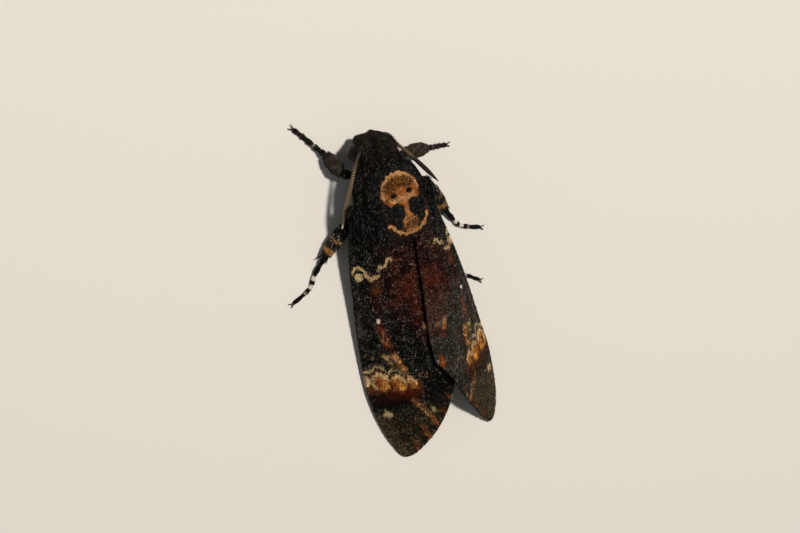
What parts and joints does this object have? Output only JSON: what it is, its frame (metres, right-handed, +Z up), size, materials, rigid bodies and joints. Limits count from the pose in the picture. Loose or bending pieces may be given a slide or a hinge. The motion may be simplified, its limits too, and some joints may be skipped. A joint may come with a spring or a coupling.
{
  "type": "death's-head hawkmoth, museum model at rest",
  "caption": "Life-size still model of a large hawkmoth at rest, wings closed like a roof, skull-like mark on the back, legs spread on the floor.",
  "frame": {"origin": "on the floor, under the middle of the model's bounding box", "axes": "+Z up from the floor the moth rests on, head towards -Y, wing tips towards +Y, the moth's left side towards +X"},
  "size_m": [0.0441, 0.0744, 0.0147],
  "materials": {
    "thorax_fur": "velvety black hair with an ochre mark",
    "dark_fur": "short dark brown hair frosted with grey",
    "abdomen_fur": "short hair, yellow with black bands",
    "forewing": "matt powdery scales, near-black with rust, ochre and cream",
    "hindwing": "matt scales, yellow with dark bands",
    "eye": "glossy dark brown",
    "antenna": "matt brown, pale tip",
    "leg": "dark scales with pale rings, horny claws",
    "horn": "satin dark horn"
  },
  "bodies": {
    "root": {"head": "dark_fur", "collar": "dark_fur", "thorax": "thorax_fur", "abdomen": "abdomen_fur", "abdomen_tip": "abdomen_fur", "proboscis": "horn", "eye_L": "eye", "palp_L": "dark_fur", "antenna_L": "antenna", "tegula_L": "dark_fur", "forewing_L": "forewing", "hindwing_L": "hindwing", "eye_R": "eye", "palp_R": "dark_fur", "antenna_R": "antenna", "tegula_R": "dark_fur", "forewing_R": "forewing", "hindwing_R": "hindwing", "foreleg_L_coxa": "leg", "foreleg_L_femur": "leg", "foreleg_L_tibia": "leg", "foreleg_L_tarsus": "leg", "foreleg_R_coxa": "leg", "foreleg_R_femur": "leg", "foreleg_R_tibia": "leg", "foreleg_R_tarsus": "leg", "middleleg_L_coxa": "leg", "middleleg_L_femur": "leg", "middleleg_L_tibia": "leg", "middleleg_L_tarsus": "leg", "middleleg_R_coxa": "leg", "middleleg_R_femur": "leg", "middleleg_R_tibia": "leg", "middleleg_R_tarsus": "leg", "hindleg_L_coxa": "leg", "hindleg_L_femur": "leg", "hindleg_L_tibia": "leg", "hindleg_L_tarsus": "leg", "hindleg_R_coxa": "leg", "hindleg_R_femur": "leg", "hindleg_R_tibia": "leg", "hindleg_R_tarsus": "leg"}
  },
  "joints": []
}
